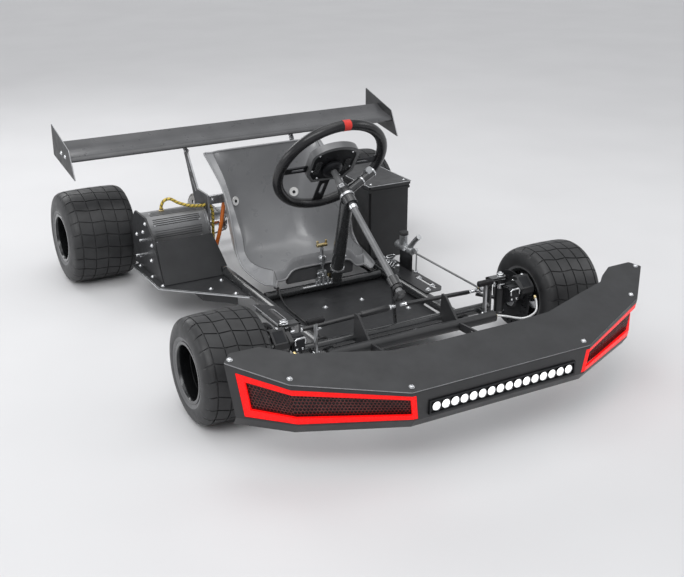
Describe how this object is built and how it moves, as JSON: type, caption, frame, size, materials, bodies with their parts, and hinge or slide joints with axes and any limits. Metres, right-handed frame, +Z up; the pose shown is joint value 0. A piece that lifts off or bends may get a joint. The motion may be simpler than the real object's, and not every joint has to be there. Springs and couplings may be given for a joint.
{
  "type": "electric go-kart",
  "caption": "Low electric go-kart: tube chassis, faceted nose with lit frames, bucket seat, steering wheel, side motor with chain drive, treaded tyres and a rear wing.",
  "frame": {"origin": "on the ground, midway between the outermost points of the kart in X and in Y", "axes": "+Z up, the nose points along -Y, +X is the driver's left"},
  "size_m": [1.212, 1.7057, 0.6314],
  "materials": {
    "satin_black_steel": "satin black powder coat",
    "gloss_black_steel": "gloss black paint",
    "black_alloy": "black anodised",
    "grey_alloy": "machined metal",
    "bright_steel": "bright zinc-plated",
    "tyre_rubber": "moulded rubber",
    "red_lamp": "lit red light guide",
    "clear_lamp": "clear lit lens",
    "seat_shell": "satin grey laminate",
    "grip_foam": "smooth grip sleeve",
    "yellow_braid": "braided sleeve",
    "orange_cable": "smooth cable jacket",
    "red_button": "satin",
    "box_shell": "satin black"
  },
  "bodies": {
    "chassis": {"rail_right": "gloss_black_steel", "rail_left": "gloss_black_steel", "front_axle_beam": "gloss_black_steel", "steering_post": "gloss_black_steel", "rear_carrier": "satin_black_steel", "floor_pan": "satin_black_steel", "side_plate_right": "satin_black_steel", "side_plate_left": "satin_black_steel", "nose_shell": "satin_black_steel", "nose_top_plate": "satin_black_steel", "nose_carrier": "satin_black_steel", "seat_bar": "satin_black_steel", "wing_blade": "satin_black_steel", "end_plate_right": "satin_black_steel", "end_plate_left": "satin_black_steel", "wing_strut_right": "satin_black_steel", "wing_strut_left": "satin_black_steel", "motor_bracket": "satin_black_steel", "lamp_frame_right": "red_lamp", "lamp_frame_left": "red_lamp", "grille_right": "black_alloy", "grille_left": "black_alloy", "lamp_bar": "black_alloy", "master_cylinder": "black_alloy", "motor_body": "black_alloy", "lamp_lens": "clear_lamp", "drive_chain": "grey_alloy", "return_spring": "bright_steel", "brake_hose_right": "grip_foam", "brake_hose_left": "grip_foam", "accelerator_lead": "grip_foam", "seat_shell": "seat_shell", "motor_lead": "yellow_braid", "power_cable": "orange_cable", "battery_box": "box_shell"},
    "steering": {"steering_shaft": "bright_steel", "steering_ring": "grip_foam", "steering_hub": "black_alloy"},
    "button_right": {"wheel_button_right": "red_button"},
    "button_left": {"wheel_button_left": "red_button"},
    "rear_axle_set": {"rear_axle": "grey_alloy", "rim_rear_right": "black_alloy", "rim_rear_left": "black_alloy", "tyre_rear_right": "tyre_rubber", "tyre_rear_left": "tyre_rubber"},
    "motor_drive": {"motor_sprocket": "bright_steel"},
    "brake_lever": {"brake_pedal": "black_alloy"},
    "brake_push_rod": {"brake_rod": "bright_steel"},
    "accelerator": {"accelerator_pedal": "black_alloy"},
    "selector": {"selector_lever": "bright_steel"},
    "steer_knuckle_right": {"knuckle_right": "grey_alloy"},
    "steer_rod_right": {"tie_rod_right": "black_alloy"},
    "front_wheel_right": {"front_disc_right": "grey_alloy", "rim_front_right": "black_alloy", "tyre_front_right": "tyre_rubber"},
    "steer_knuckle_left": {"knuckle_left": "grey_alloy"},
    "steer_rod_left": {"tie_rod_left": "black_alloy"},
    "front_wheel_left": {"front_disc_left": "grey_alloy", "rim_front_left": "black_alloy", "tyre_front_left": "tyre_rubber"}
  },
  "joints": [
    {"name": "steering_turn", "type": "hinge", "parent": "chassis", "child": "steering", "pos_m": [0, -0.018, 0.484], "axis": [0, 0.829, 0.5592], "range_deg": [-45, 45]},
    {"name": "button_press_right", "type": "slide", "parent": "steering", "child": "button_right", "axis": [0, -0.829, -0.5592], "range_m": [0, 0.002], "stiffness_N_per_m": 400, "springref_m": -0.001},
    {"name": "button_press_left", "type": "slide", "parent": "steering", "child": "button_left", "axis": [0, -0.829, -0.5592], "range_m": [0, 0.002], "stiffness_N_per_m": 400, "springref_m": -0.001},
    {"name": "knuckle_turn_right", "type": "hinge", "parent": "chassis", "child": "steer_knuckle_right", "pos_m": [-0.335, -0.385, 0.13682], "axis": [0, 0, 1], "range_deg": [-23, 23], "deforming": ["brake_hose_right"]},
    {"name": "rod_swivel_right", "type": "hinge", "parent": "steer_knuckle_right", "child": "steer_rod_right", "pos_m": [-0.3, -0.335, 0.157], "axis": [0, 0, 1], "range_deg": [-26, 26]},
    {"name": "front_wheel_spin_right", "type": "hinge", "parent": "steer_knuckle_right", "child": "front_wheel_right", "pos_m": [-0.505, -0.385, 0.13682], "axis": [1, 0, 0], "continuous": true},
    {"name": "knuckle_turn_left", "type": "hinge", "parent": "chassis", "child": "steer_knuckle_left", "pos_m": [0.335, -0.385, 0.13682], "axis": [0, 0, 1], "range_deg": [-23, 23], "deforming": ["brake_hose_left"]},
    {"name": "rod_swivel_left", "type": "hinge", "parent": "steer_knuckle_left", "child": "steer_rod_left", "pos_m": [0.3, -0.335, 0.157], "axis": [0, 0, 1], "range_deg": [-26, 26]},
    {"name": "front_wheel_spin_left", "type": "hinge", "parent": "steer_knuckle_left", "child": "front_wheel_left", "pos_m": [0.505, -0.385, 0.13682], "axis": [1, 0, 0], "continuous": true},
    {"name": "rear_axle_spin", "type": "hinge", "parent": "chassis", "child": "rear_axle_set", "pos_m": [0, 0.705, 0.14872], "axis": [1, 0, 0], "continuous": true},
    {"name": "motor_spin", "type": "hinge", "parent": "chassis", "child": "motor_drive", "pos_m": [-0.125, 0.48, 0.195], "axis": [1, 0, 0], "continuous": true},
    {"name": "brake_pedal_press", "type": "hinge", "parent": "chassis", "child": "brake_lever", "pos_m": [0.262, -0.417, 0.126], "axis": [1, 0, 0], "range_deg": [0, 20], "stiffness_Nm_per_rad": 6, "springref_deg": -5.73},
    {"name": "brake_rod_slide", "type": "slide", "parent": "chassis", "child": "brake_push_rod", "axis": [0, -1, 0], "range_m": [0, 0.0214]},
    {"name": "accelerator_press", "type": "hinge", "parent": "chassis", "child": "accelerator", "pos_m": [-0.262, -0.417, 0.126], "axis": [1, 0, 0], "range_deg": [0, 20], "stiffness_Nm_per_rad": 3, "springref_deg": -5.73},
    {"name": "selector_tilt", "type": "hinge", "parent": "chassis", "child": "selector", "pos_m": [-0.006, 0.025, 0.146], "axis": [1, 0, 0], "range_deg": [0, 18]}
  ],
  "couplings": [
    {"joint": "knuckle_turn_right", "follows": "steering_turn", "ratio": 0.5},
    {"joint": "rod_swivel_right", "follows": "steering_turn", "ratio": -0.558},
    {"joint": "knuckle_turn_left", "follows": "steering_turn", "ratio": 0.5},
    {"joint": "rod_swivel_left", "follows": "steering_turn", "ratio": -0.558},
    {"joint": "motor_spin", "follows": "rear_axle_spin", "ratio": 3.0625},
    {"joint": "brake_rod_slide", "follows": "brake_pedal_press", "m_per_rad": 0.06}
  ]
}
